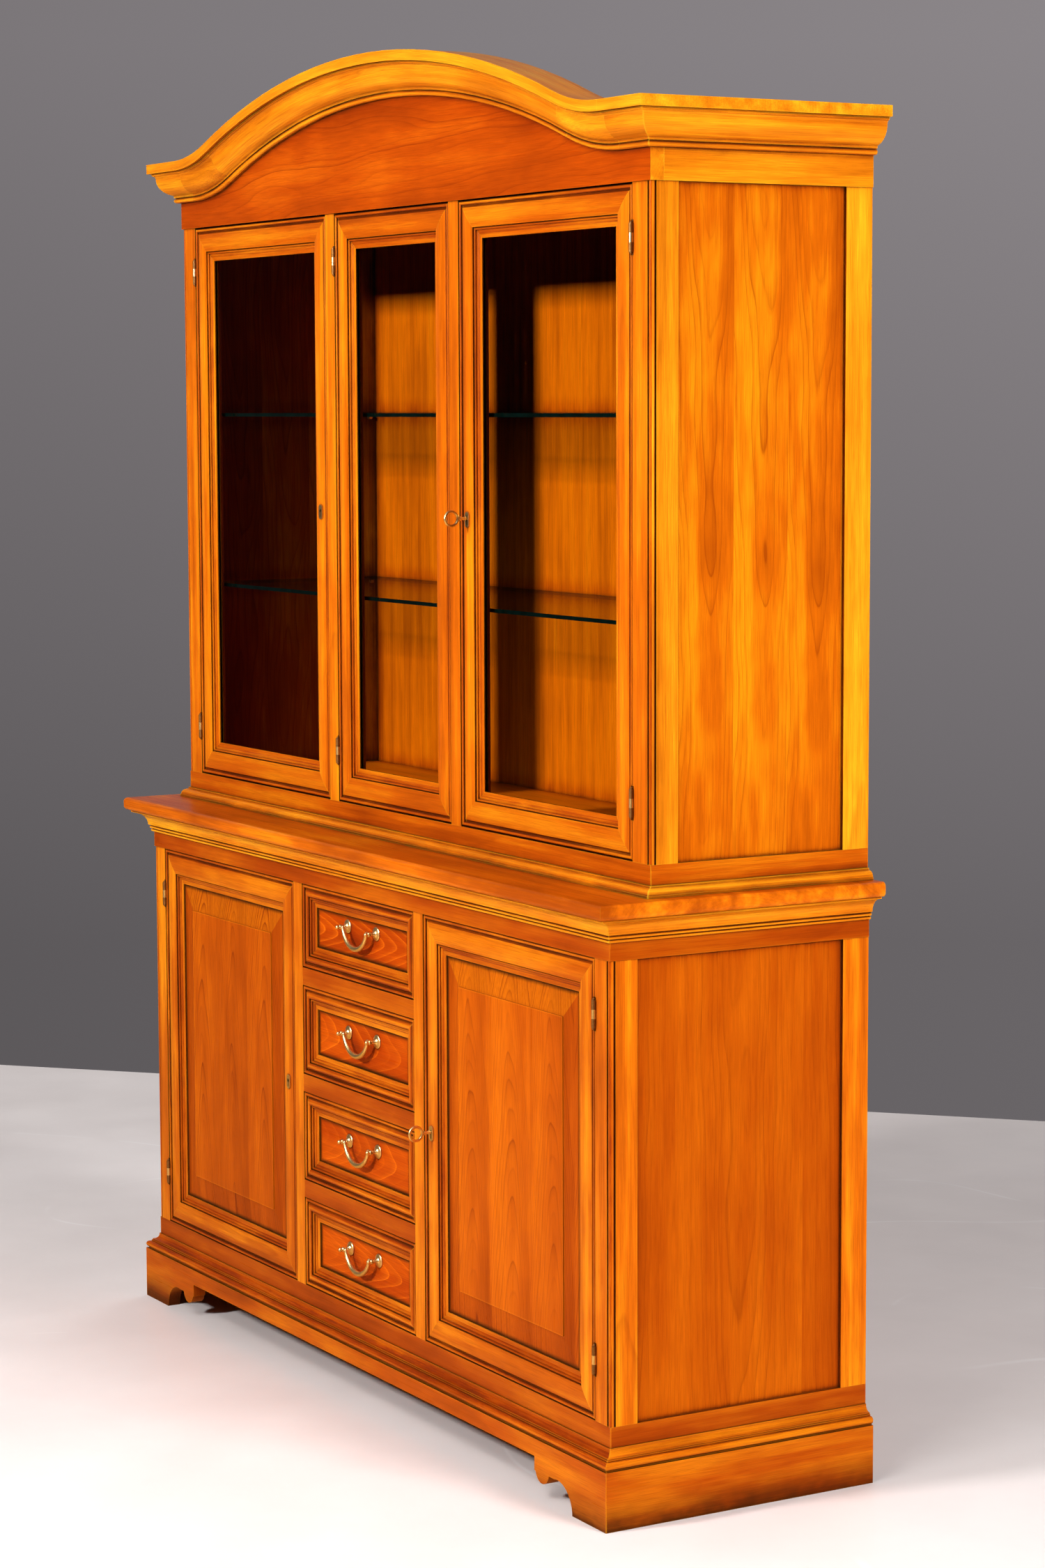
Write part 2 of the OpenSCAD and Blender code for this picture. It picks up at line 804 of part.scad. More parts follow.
module lock_case() {
    difference() {
        translate([0.2, case_depth, -case_h / 2]) cube([case_w - 0.2, case_t, case_h]);
        translate([wall, case_depth + wall, -case_h / 2 + wall])
            cube([case_w - 2 * wall, case_t - 2 * wall, case_h - 2 * wall]);
        translate([-1, case_depth + case_t / 2 - bolt_t / 2 - bolt_play, bolt_z - bolt_h / 2 - bolt_play])
            cube([wall + 2, bolt_t + 2 * bolt_play, bolt_h + 2 * bolt_play]);
        translate([key_w, case_depth + wall + 1, 0])
            rotate([90, 0, 0]) cylinder(h = wall + 5, r = shaft_r + running, $fn = 48);
    }
}

module lock_bolt() {
    translate([0.3, case_depth + case_t / 2 - bolt_t / 2, bolt_z - bolt_h / 2])
        cube([bolt_l, bolt_t, bolt_h]);
}

module escutcheon() {
    plate_r = 6;
    half_h = 6;
    translate([key_w, 0, -2])
        rotate([90, 0, 0])
            linear_extrude(1.4)
                difference() {
                    union() {
                        for (z = [-half_h, half_h]) translate([0, z]) circle(plate_r, $fn = 48);
                        translate([-plate_r, -half_h]) square([2 * plate_r, 2 * half_h]);
                    }
                    translate([0, 2]) circle(3, $fn = 48);
                    translate([-1.1, -8]) square([2.2, 10]);
                }
}

module key() {
    bit_h = 8.5;
    end = case_depth + case_t - wall - 0.4;
    translate([key_w, 0, 0]) {
        translate([0, end, 0]) rotate([90, 0, 0]) cylinder(h = end + bow_out - bow_r, r = shaft_r, $fn = 48);
        translate([0, -bow_out, 0])
            rotate([0, 90, 0])
                rotate_extrude($fn = 96) translate([bow_r, 0]) circle(shaft_r, $fn = 48);
        for (y = [-4, -12.5])
            translate([0, y, 0]) rotate([90, 0, 0]) cylinder(h = 1.6, r = 3.4, $fn = 48);
        translate([-1.2, case_depth + wall + 0.5, -bit_h]) cube([2.4, case_t - 2 * wall - 1, bit_h]);
    }
}

// ---- Doors ----

module glazed_frame(xs, zs, d) {
    mitred_frame(xs, zs, d, stile_w) {
        frame_section(stile_w, false);
        children();
    }
    mitred_frame(xs, zs, d, stile_w) glazing_bead_section(stile_w);
}

module pane(xs, zs, d) {
    edge = stile_w - overlap + 1;
    drop = 2;
    wide = xs[1] - xs[0] - 2 * edge;
    high = zs[1] - zs[0] - 2 * edge;
    slope = bevel_w + overlap - 1;
    depth = groove_depth + drop;
    translate([(xs[0] + xs[1]) / 2, fy(d) + depth, (zs[0] + zs[1]) / 2]) {
        translate([-wide / 2, 0, -high / 2]) cube([wide, pane_t - drop, high]);
        rotate([90, 0, 0])
            linear_extrude(drop, scale = [(wide - 2 * slope) / wide, (high - 2 * slope) / high])
                square([wide, high], center = true);
    }
}

// A raised and fielded panel held in the frame's groove
module raised_panel(xs, zs, d) {
    edge = stile_w - overlap + 1;
    slope = 41;
    rise = 3.5;
    field = 1.5;
    wide = xs[1] - xs[0] - 2 * stile_w;
    high = zs[1] - zs[0] - 2 * stile_w;
    extra = stile_w - edge;
    translate([(xs[0] + xs[1]) / 2, fy(d) + groove_depth, (zs[0] + zs[1]) / 2]) {
        translate([-wide / 2 - extra, 0, -high / 2 - extra])
            cube([wide + 2 * extra, tongue_t, high + 2 * extra]);
        rotate([90, 0, 0])
            linear_extrude(rise, scale = [(wide - 2 * slope) / wide, (high - 2 * slope) / high])
                square([wide, high], center = true);
        translate([-wide / 2 + slope + 1, -rise - field, -high / 2 + slope + 1])
            cube([wide - 2 * slope - 2, rise + field + 1, high - 2 * slope - 2]);
    }
}

module hutch_left_door_frame() {
    color(cherry)
        glazed_frame(hutch_left_x, hutch_door_z, hutch_d) {
            hinge_places(-hutch_post_x + door_gap / 2, 1, hutch_d, hutch_hinge_z) hinge_mortise();
            lock_place(hutch_left_x[1], hutch_d, hutch_key_z) lock_pocket();
        }
}

module hutch_left_door_glass() {
    color(glass, 0.4) pane(hutch_left_x, hutch_door_z, hutch_d);
}

module hutch_left_door_hardware() {
    color(brass) {
        hinge_places(-hutch_post_x + door_gap / 2, 1, hutch_d, hutch_hinge_z) hinge_door_leaf();
        lock_place(hutch_left_x[1], hutch_d, hutch_key_z) {
            lock_case();
            lock_bolt();
            escutcheon();
        }
    }
}

module hutch_middle_door_frame() {
    color(cherry)
        glazed_frame(hutch_middle_x, hutch_door_z, hutch_d) {
            hinge_places(-hutch_mid + door_gap / 2, 1, hutch_d, hutch_hinge_z) hinge_mortise();
            catch_barrel();
        }
}

module hutch_middle_door_glass() {
    color(glass, 0.4) pane(hutch_middle_x, hutch_door_z, hutch_d);
}

// The barrel of a ball catch in the top edge of the middle door
module catch_barrel() {
    translate([catch_x, fy(hutch_d) + catch_in, hutch_top - catch_l])
        cylinder(h = catch_l, r = catch_r, $fn = 48);
}

module hutch_middle_door_hardware() {
    color(brass) {
        hinge_places(-hutch_mid + door_gap / 2, 1, hutch_d, hutch_hinge_z) hinge_door_leaf();
        catch_barrel();
        translate([catch_x, fy(hutch_d) + catch_in, hutch_top - 1.2]) sphere(2.8, $fn = 48);
    }
}

module hutch_right_door_frame() {
    color(cherry)
        glazed_frame(hutch_right_x, hutch_door_z, hutch_d) {
            hinge_places(hutch_post_x - door_gap / 2, -1, hutch_d, hutch_hinge_z) hinge_mortise();
            lock_place(hutch_right_x[0], hutch_d, hutch_key_z) lock_pocket();
        }
}

module hutch_right_door_glass() {
    color(glass, 0.4) pane(hutch_right_x, hutch_door_z, hutch_d);
}

module hutch_right_door_hardware() {
    color(brass) {
        hinge_places(hutch_post_x - door_gap / 2, -1, hutch_d, hutch_hinge_z) hinge_door_leaf();
        lock_place(hutch_right_x[0], hutch_d, hutch_key_z) {
            lock_case();
            escutcheon();
        }
    }
}

module panelled_frame(xs, zs, d) {
    mitred_frame(xs, zs, d, stile_w) {
        frame_section(stile_w, true);
        children();
    }
}

module base_left_door_frame() {
    color(cherry)
        panelled_frame(base_left_x, base_door_z, base_d) {
            hinge_places(-base_post_x + door_gap / 2, 1, base_d, base_hinge_z) hinge_mortise();
            lock_place(base_left_x[1], base_d, base_key_z) lock_pocket();
        }
}

module base_left_door_panel() {
    color(red_cherry) raised_panel(base_left_x, base_door_z, base_d);
}

module base_left_door_hardware() {
    color(brass) {
        hinge_places(-base_post_x + door_gap / 2, 1, base_d, base_hinge_z) hinge_door_leaf();
        lock_place(base_left_x[1], base_d, base_key_z) {
            lock_case();
            lock_bolt();
            escutcheon();
        }
    }
}

module base_right_door_frame() {
    color(cherry)
        panelled_frame(base_right_x, base_door_z, base_d) {
            hinge_places(base_post_x - door_gap / 2, -1, base_d, base_hinge_z) hinge_mortise();
            lock_place(base_right_x[0], base_d, base_key_z) lock_pocket();
        }
}

module base_right_door_panel() {
    color(red_cherry) raised_panel(base_right_x, base_door_z, base_d);
}

module base_right_door_hardware() {
    color(brass) {
        hinge_places(base_post_x - door_gap / 2, -1, base_d, base_hinge_z) hinge_door_leaf();
        lock_place(base_right_x[0], base_d, base_key_z) {
            lock_case();
            escutcheon();
        }
    }
}

module hutch_key() {
    color(brass) lock_place(hutch_right_x[0], hutch_d, hutch_key_z) key();
}

module hutch_lock_bolt() {
    color("silver") lock_place(hutch_right_x[0], hutch_d, hutch_key_z) lock_bolt();
}

module base_key() {
    color(brass) lock_place(base_right_x[0], base_d, base_key_z) key();
}

module base_lock_bolt() {
    color("silver") lock_place(base_right_x[0], base_d, base_key_z) lock_bolt();
}

// ---- Drawers, counted from the top ----

module drawer_front(i) {
    xs = [-base_mid + drawer_gap, base_mid - drawer_gap];
    zs = [drawer_z0(i) + drawer_gap, drawer_z1(i) - drawer_gap];
    edge = border_w - overlap + 1;
    front = base_d - groove_depth - seam;
    color(cherry)
        mitred_frame(xs, zs, base_d, border_w) frame_section(border_w, true);
    color(red_cherry)
        difference() {
            board([xs[0] + edge, xs[1] - edge], [front - tongue_t + 2 * seam, front],
                  [zs[0] + edge, zs[1] - edge]);
            pull_places(i) screw_hole();
        }
}

module drawer_box(i) {
    front = base_d - frame_t;
    zs = [drawer_z0(i) + box_lift, drawer_z1(i) - box_drop];
    bottom_z = zs[0] + box_bottom_lift;
    inner = box_hw - box_side_t - seam;
    color(plain_wood) {
        both_sides()
            board([box_hw - box_side_t, box_hw], [box_back, front], zs);
        difference() {
            board([-inner, inner], [front - box_side_t, front], zs);
            pull_places(i) screw_hole();
        }
        board([-inner, inner], [box_back, box_back + box_side_t], zs);
        board([-inner, inner], [box_back + box_side_t + seam, front - box_side_t - seam],
              [bottom_z, bottom_z + box_bottom_t]);
    }
}

// Puts its children where a pull's posts stand on the drawer's panel
module pull_places(i) {
    for (x = [-post_x, post_x])
        translate([x, fy(base_d - groove_depth), drawer_mid(i) + pull_lift]) children();
}

module screw_hole() {
    translate([0, -5, 0]) rotate([-90, 0, 0]) cylinder(h = 40, r = 2, $fn = 32);
}

module pull_posts(i) {
    screw_l = frame_t - groove_depth + box_side_t;
    color(brass)
        pull_places(i) {
            difference() {
                rotate([90, 0, 0]) {
                    rotate_extrude($fn = 64)
                        polygon([[0, 0], [11, 0], [11, 1.2], [10, 2], [8.5, 2.3], [6, 3.2], [4.2, 5],
                                 [3.1, 7.5], [2.6, 10], [2.6, 18], [0, 18]]);
                    translate([0, 0, pivot_out]) sphere(4.2, $fn = 48);
                    translate([0, 0, 19]) sphere(3.5, $fn = 48);
                }
                translate([0, -pivot_out, 0])
                    rotate([0, 90, 0]) cylinder(h = 20, r = 1.6, center = true, $fn = 32);
            }
            translate([0, seam, 0]) rotate([-90, 0, 0]) cylinder(h = screw_l, r = 2, $fn = 32);
            translate([0, screw_l, 0]) rotate([-90, 0, 0]) cylinder(h = 2.4, r = 4.5, $fn = 32);
        }
}

module bail(i) {
    color(brass)
        translate([0, fy(base_d - groove_depth) - pivot_out, drawer_mid(i) + pull_lift]) {
            translate([0, 0, bail_arc_r - bail_drop])
                rotate([90, 0, 0])
                    rotate([0, 0, bail_a - 180])
                        rotate_extrude(angle = 180 - 2 * bail_a, $fn = 192)
                            translate([bail_arc_r, 0]) circle(bail_r, $fn = 48);
            both_sides() {
                translate([bail_x, 0, 0]) sphere(3.6, $fn = 48);
                translate([bail_x, 0, 0]) rotate([0, 90, 0]) cylinder(h = 10.5, r = 1.55, $fn = 32);
            }
        }
}

module drawer_1_front() { drawer_front(1); }
module drawer_1_box() { drawer_box(1); }
module drawer_1_pull_posts() { pull_posts(1); }
module drawer_1_bail() { bail(1); }
module drawer_2_front() { drawer_front(2); }
module drawer_2_box() { drawer_box(2); }
module drawer_2_pull_posts() { pull_posts(2); }
module drawer_2_bail() { bail(2); }
module drawer_3_front() { drawer_front(3); }
module drawer_3_box() { drawer_box(3); }
module drawer_3_pull_posts() { pull_posts(3); }
module drawer_3_bail() { bail(3); }
module drawer_4_front() { drawer_front(4); }
module drawer_4_box() { drawer_box(4); }
module drawer_4_pull_posts() { pull_posts(4); }
module drawer_4_bail() { bail(4); }

plinth_boards();
plinth_moulding();
base_bottom_band();
base_posts();
base_mullions();
drawer_rails();
base_inner_boards();
base_shelves();
drawer_runners();
base_top_band();
counter_moulding();
countertop();
hutch_foot_moulding();
hutch_bottom_band();
hutch_posts();
hutch_mullions();
hutch_deck_and_ceiling();
side_panels();
back_panels();
glass_shelves();
shelf_pins();
frieze();
cornice_moulding();
top_board();
hinge_fixed_halves();
hutch_left_door_frame();
hutch_left_door_glass();
hutch_left_door_hardware();
hutch_middle_door_frame();
hutch_middle_door_glass();
hutch_middle_door_hardware();
hutch_right_door_frame();
hutch_right_door_glass();
hutch_right_door_hardware();
base_left_door_frame();
base_left_door_panel();
base_left_door_hardware();
base_right_door_frame();
base_right_door_panel();
base_right_door_hardware();
hutch_key();
hutch_lock_bolt();
base_key();
base_lock_bolt();
drawer_1_front();
drawer_1_box();
drawer_1_pull_posts();
drawer_1_bail();
drawer_2_front();
drawer_2_box();
drawer_2_pull_posts();
drawer_2_bail();
drawer_3_front();
drawer_3_box();
drawer_3_pull_posts();
drawer_3_bail();
drawer_4_front();
drawer_4_box();
drawer_4_pull_posts();
drawer_4_bail();
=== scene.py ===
import math

import bpy
import numpy as np
from mathutils import Matrix, Vector


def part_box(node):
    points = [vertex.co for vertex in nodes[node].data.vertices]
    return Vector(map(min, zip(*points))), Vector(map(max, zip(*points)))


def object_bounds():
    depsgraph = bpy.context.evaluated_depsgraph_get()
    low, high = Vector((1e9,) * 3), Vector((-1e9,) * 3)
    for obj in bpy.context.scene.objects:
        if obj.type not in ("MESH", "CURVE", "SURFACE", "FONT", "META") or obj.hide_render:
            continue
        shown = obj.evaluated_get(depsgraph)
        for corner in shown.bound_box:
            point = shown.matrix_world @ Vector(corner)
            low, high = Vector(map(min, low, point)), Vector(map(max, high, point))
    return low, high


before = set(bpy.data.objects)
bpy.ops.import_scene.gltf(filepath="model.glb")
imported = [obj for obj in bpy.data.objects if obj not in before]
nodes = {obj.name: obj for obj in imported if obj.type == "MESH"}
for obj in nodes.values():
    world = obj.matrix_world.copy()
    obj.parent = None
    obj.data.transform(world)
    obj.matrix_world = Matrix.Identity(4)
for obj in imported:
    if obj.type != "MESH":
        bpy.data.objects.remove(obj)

cad_lo, cad_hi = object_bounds()
scene = bpy.context.scene


COVERED = 0.008        # how far a frame covers the edge of its panel
BEVEL = 0.042          # width of the slope round a raised field
ARCHED_LENGTH = 0.3    # a piece longer and taller than this follows the cornice's curve
ARCHED_HEIGHT = 0.09
TRUNK = (2, 40)        # a board starts somewhere between these, in metres along its trunk

# ---------- grain coordinates ----------

def parts_of(me):
    """Positions, and for each vertex the number of the separate board it belongs to."""
    co = np.zeros(len(me.vertices) * 3)
    me.vertices.foreach_get("co", co)
    co = co.reshape(-1, 3)
    key = np.round(co * 2e5).astype(np.int64)
    _, same = np.unique(key, axis=0, return_inverse=True)
    same = same.ravel()
    ends = np.zeros(len(me.edges) * 2, np.int32)
    me.edges.foreach_get("vertices", ends)
    a, b = same[ends[0::2]], same[ends[1::2]]
    label = np.arange(same.max() + 1)
    while True:
        low = np.minimum(label[a], label[b])
        new = label.copy()
        np.minimum.at(new, a, low)
        np.minimum.at(new, b, low)
        new = new[new]
        if (new == label).all():
            break
        label = new
    _, part = np.unique(label[same], return_inverse=True)
    return co, part.ravel()


def arch_height(x):
    """Height of the cornice's curve above its level ends."""
    half, rise, crown = 0.696, 0.122, 1.695
    back = (half ** 2 + rise ** 2) / (2 * rise) - crown
    x = np.abs(x)
    turn = crown * half / (crown + back)
    top = rise - crown + np.sqrt(np.maximum(crown ** 2 - x ** 2, 0))
    foot = back - np.sqrt(np.maximum(back ** 2 - (half - x) ** 2, 0))
    return np.where(x < turn, top, np.where(x < half, foot, 0.0))


def write(me, name, kind, values):
    a = me.attributes.get(name) or me.attributes.new(name, kind, "POINT")
    a.data.foreach_set("vector" if kind == "FLOAT_VECTOR" else "value", values.ravel().astype(np.float32))


def add_grain(o, seed, follow_arch=False, axis=None):
    """Writes where each vertex lies in its own board: along the grain, across it, and through the board."""
    me = o.data
    co, part = parts_of(me)
    rng = np.random.default_rng(seed)
    out = np.zeros_like(co)
    tint = np.zeros(len(co))
    level = np.zeros(len(co))
    for k in range(part.max() + 1):
        m = part == k
        p = co[m]
        order = np.argsort(p.min(0) - p.max(0))
        if axis is not None:
            order = [axis, *(i for i in order if i != axis)]
        if follow_arch and np.ptp(p[:, 0]) > ARCHED_LENGTH and np.ptp(p[:, 2]) > ARCHED_HEIGHT:
            p = p.copy()
            p[:, 2] -= arch_height(p[:, 0])
            order = [0, 2, 1]
        mid = (p.max(0) + p.min(0)) / 2
        q = (p - mid)[:, order]
        q[:, 0] += rng.uniform(*TRUNK)
        out[m] = q
        tint[m] = rng.uniform(0, 1)
        level[m] = order[0] != 2
    write(me, "level", "FLOAT", level)
    write(me, "grain", "FLOAT_VECTOR", out)
    write(me, "board", "FLOAT", tint)


def add_opening(o, panel):
    """Writes each vertex's place from the panel's middle, and half the size of the panel's opening."""
    co = parts_of(o.data)[0]
    lo, hi = co[panel].min(0), co[panel].max(0)
    write(o.data, "place", "FLOAT_VECTOR", co - (lo + hi) / 2)
    write(o.data, "opening", "FLOAT_VECTOR", np.tile((hi - lo) / 2 - COVERED, (len(co), 1)))


# ---------- shader building ----------

class Nodes:
    """Short calls for the nodes that the materials and the backdrop are made of."""

    def __init__(self, tree):
        self.t = tree

    def put(self, socket, value):
        if value is None:
            return
        if isinstance(value, bpy.types.NodeSocket):
            self.t.links.new(value, socket)
        else:
            socket.default_value = value

    def math(self, op, a, b=None, c=None, clamp=False):
        n = self.t.nodes.new("ShaderNodeMath")
        n.operation, n.use_clamp = op, clamp
        for s, v in zip(n.inputs, (a, b, c)):
            self.put(s, v)
        return n.outputs[0]

    def vec(self, x, y, z):
        n = self.t.nodes.new("ShaderNodeCombineXYZ")
        for s, v in zip(n.inputs, (x, y, z)):
            self.put(s, v)
        return n.outputs[0]

    def split(self, v):
        n = self.t.nodes.new("ShaderNodeSeparateXYZ")
        self.put(n.inputs[0], v)
        return n.outputs

    def dot(self, v, direction):
        n = self.t.nodes.new("ShaderNodeVectorMath")
        n.operation = "DOT_PRODUCT"
        self.put(n.inputs[0], v)
        n.inputs[1].default_value = direction
        return n.outputs["Value"]

    def attribute(self, name, output="Fac"):
        n = self.t.nodes.new("ShaderNodeAttribute")
        n.attribute_name = name
        return n.outputs[output]

    def coordinates(self, kind):
        return self.t.nodes.new("ShaderNodeTexCoord").outputs[kind]

    def normal_z(self):
        return self.split(self.t.nodes.new("ShaderNodeNewGeometry").outputs["True Normal"])[2]

    def ray(self, kind):
        """1 for rays of that kind, and 0 for the others."""
        return self.t.nodes.new("ShaderNodeLightPath").outputs[kind]

    def noise(self, v, scale, detail=2.0, rough=0.5):
        n = self.t.nodes.new("ShaderNodeTexNoise")
        self.put(n.inputs["Vector"], v)
        n.inputs["Scale"].default_value = scale
        n.inputs["Detail"].default_value = detail
        n.inputs["Roughness"].default_value = rough
        return n.outputs["Fac"]

    def span(self, v, a, b, c=0.0, d=1.0):
        n = self.t.nodes.new("ShaderNodeMapRange")
        self.put(n.inputs[0], v)
        for s, x in zip(n.inputs[1:5], (a, b, c, d)):
            s.default_value = x
        return n.outputs[0]

    def ramp(self, v, *stops):
        n = self.t.nodes.new("ShaderNodeValToRGB")
        self.put(n.inputs[0], v)
        e = n.color_ramp.elements
        while len(e) < len(stops):
            e.new(0.5)
        for el, (at, c) in zip(e, stops):
            el.position = at
            el.color = (*c, 1.0) if len(c) == 3 else c
        return n.outputs[0]

    def mix(self, fac, a, b, how="MIX"):
        n = self.t.nodes.new("ShaderNodeMix")
        n.data_type, n.blend_type = "RGBA", how
        self.put(n.inputs[0], fac)
        for s, v in ((n.inputs[6], a), (n.inputs[7], b)):
            self.put(s, (*v, 1.0) if isinstance(v, tuple) and len(v) == 3 else v)
        return n.outputs[2]

    def hollow(self, distance, inside=False):
        """How open the space is around a point: 1 in the open, less in a corner, or inwards at an edge."""
        n = self.t.nodes.new("ShaderNodeAmbientOcclusion")
        n.samples = 6
        n.inside = inside
        n.only_local = inside
        n.inputs["Distance"].default_value = distance
        return n.outputs["AO"]

    def dice(self, v):
        """One random number for each whole number."""
        n = self.t.nodes.new("ShaderNodeTexWhiteNoise")
        n.noise_dimensions = "1D"
        self.put(n.inputs["W"], v)
        return n.outputs["Value"]

    def stretched(self, grain, along, across, detail=2.0, rough=0.5):
        """Noise drawn out along the grain: so many spots to the metre along it, and across it."""
        n = self.t.nodes.new("ShaderNodeVectorMath")
        n.operation = "MULTIPLY"
        self.put(n.inputs[0], grain)
        n.inputs[1].default_value = (along, across, across)
        return self.noise(n.outputs[0], 1.0, detail, rough)

    def bump(self, height, strength, distance, normal=None):
        n = self.t.nodes.new("ShaderNodeBump")
        n.inputs["Strength"].default_value = strength
        n.inputs["Distance"].default_value = distance
        self.put(n.inputs["Height"], height)
        self.put(n.inputs["Normal"], normal)
        return n.outputs[0]

    def round_edges(self, radius):
        n = self.t.nodes.new("ShaderNodeBevel")
        n.samples = 4
        n.inputs["Radius"].default_value = radius
        return n.outputs[0]


class Material(Nodes):
    """A new material and the nodes in it."""

    def __init__(self, name):
        self.mat = bpy.data.materials.new(name)
        self.mat.use_nodes = True
        super().__init__(self.mat.node_tree)
        self.t.nodes.clear()
        self.out = self.t.nodes.new("ShaderNodeOutputMaterial")

    def principled(self, colour, rough, normal=None, **fixed):
        n = self.t.nodes.new("ShaderNodeBsdfPrincipled")
        self.put(n.inputs["Base Color"], (*colour, 1.0) if isinstance(colour, tuple) else colour)
        self.put(n.inputs["Roughness"], rough)
        self.put(n.inputs["Normal"], normal)
        for k, v in fixed.items():
            n.inputs[k.replace("_", " ")].default_value = v
        self.t.links.new(n.outputs[0], self.out.inputs[0])


# ---------- wood ----------

# near-black: real glaze in the pores, and painted shade in corners, along frame edges and near the floor
GLAZE_AND_SHADE = (0.040, 0.0100, 0.0016)
WAX_AND_SHADE = (0.110, 0.021, 0.004)
WAX_AND_SHADE_FILTER = (0.62, 0.34, 0.32)        # what the brown wax and painted shade leave of the wood's own colour
QUIRK_REACH = 0.009               # how far the darkest glaze and painted shade reach out of a corner
ARRIS = 0.0016                    # how far the rubbing and painted highlight reach over an edge
EDGE_RADIUS = 0.0009              # rounding of every edge
DARK_NEAR_FLOOR_HEIGHT = 0.050              # how high the darkening reaches from the floor
GOLDEN_GLOSS = (1.0, 0.62, 0.20, 1.0)


def board_place(n, leaf):
    """A point's place in its board and a number for the board, which may be cut into leaves."""
    along, side, deep = n.split(n.attribute("grain", "Vector"))
    board = n.attribute("board")
    if leaf:
        # leaves of one log laid side by side, so the same arches come back a little shifted
        number = n.math("FLOOR", n.math("DIVIDE", n.math("ADD", side, leaf), 2 * leaf))
        side = n.math("WRAP", side, leaf, -leaf)
        along = n.math("MULTIPLY_ADD", number, 0.017, along)
        board = n.math("FRACT", n.math("MULTIPLY_ADD", number, 0.37, board))
    return n.vec(along, side, deep), board


def ring_lines(n, grain, board, heart, taper, ring, bend, figure, loops):
    """Dark lines where the board cuts the cones round the tree's heart."""
    along, side, deep = n.split(grain)
    slow = n.math("SUBTRACT", n.stretched(grain, 1.7, 9.0, 2.0), 0.5)
    ripple = n.math("SUBTRACT", n.stretched(grain, 9.0, 32.0, 2.0), 0.5)
    off_heart = n.math("MULTIPLY_ADD", slow, 0.05, side)
    depth = n.math("ADD", n.math("MULTIPLY_ADD", board, heart * 0.5, heart), deep)
    reach = n.math("SQRT", n.math("ADD", n.math("POWER", off_heart, 2.0), n.math("POWER", depth, 2.0)))
    cone = n.math("MULTIPLY_ADD", along, taper, reach)
    count = n.math("ADD", n.math("DIVIDE", cone, ring), n.math("MULTIPLY", slow, bend * 4.0))
    count = n.math("MULTIPLY_ADD", ripple, bend * 0.5, count)
    if loops:
        # hollows and bumps of the trunk, which close some of the rings into long drops
        count = n.math("MULTIPLY_ADD", n.stretched(grain, 3.2, 17.0, 1.0), loops, count)
    late = n.ramp(n.math("FRACT", count), (0.0, (0.30,) * 3), (0.05, (0.0,) * 3), (0.55, (0.06,) * 3),
                  (0.86, (0.40,) * 3), (0.96, (1.0,) * 3), (1.0, (0.30,) * 3))
    strength = n.math("MULTIPLY_ADD", 0.85, n.math("POWER", n.dice(n.math("FLOOR", count)), 1.6), 0.15)
    line = n.math("MULTIPLY", n.math("MULTIPLY", late, strength), figure)
    if taper > 0.1:
        # bold arches fade out to the sides
        line = n.math("MULTIPLY", line, n.span(n.math("ABSOLUTE", off_heart), 0.03, 0.08, 1.0, 0.4))
    return line


def ground_colour(n, grain, board, light, mid, dark, cloudy, streak, rail_shade):
    """The stained wood between the lines, cloudy and streaked along the grain."""
    cloud = n.stretched(grain, 3.2, 11.0, 3.0, 0.6)
    band = n.stretched(grain, 1.6, 55.0, 3.0, 0.6)
    tone = n.math("MULTIPLY_ADD", n.math("SUBTRACT", cloud, 0.5), cloudy, 0.5)
    tone = n.math("MULTIPLY_ADD", n.math("SUBTRACT", band, 0.5), streak, tone)
    tone = n.math("MULTIPLY_ADD", n.math("SUBTRACT", board, 0.5), 0.2, tone)
    deeper = tuple(0.35 * a + 0.65 * b for a, b in zip(mid, dark))
    colour = n.ramp(tone, (0.16, deeper), (0.47, mid), (0.80, light))
    if rail_shade:
        # painted shade: level boards are drawn darker and redder than upright ones, whose fibres catch more
        # sheen
        level = n.math("MULTIPLY", n.attribute("level"), rail_shade)
        colour = n.mix(level, colour, (0.66, 0.50, 0.55), "MULTIPLY")
    return colour


def panel_inset(n):
    """How far a point lies inside the opening that shows its panel."""
    place = n.split(n.attribute("place", "Vector"))
    opening = n.split(n.attribute("opening", "Vector"))
    return n.math("MINIMUM", n.math("SUBTRACT", opening[0], n.math("ABSOLUTE", place[0])),
                  n.math("SUBTRACT", opening[2], n.math("ABSOLUTE", place[2])))


def field_slopes(n, colour, line, inset, light):
    """The slopes round a raised field cut across the rings: stronger lines, painted shade on all slopes, and
    a painted highlight on the top slope.
    """
    slope = n.span(inset, BEVEL, BEVEL - 0.001)
    line = n.math("MULTIPLY", line, n.math("MULTIPLY_ADD", slope, 0.9, 1.0), clamp=True)
    # painted shade: the slopes are drawn darker than the field
    colour = n.mix(n.math("MULTIPLY", slope, 0.5), colour, (0.70, 0.55, 0.6), "MULTIPLY")
    # painted highlight: the slope that faces up is drawn lighter, as if lit from above
    painted_top_light = n.math("MULTIPLY", slope, n.span(n.normal_z(), 0.02, 0.07, 0.0, 0.32))
    colour = n.mix(painted_top_light, colour, tuple(c * k for c, k in zip(light, (1.2, 1.7, 2.0))))
    return colour, line


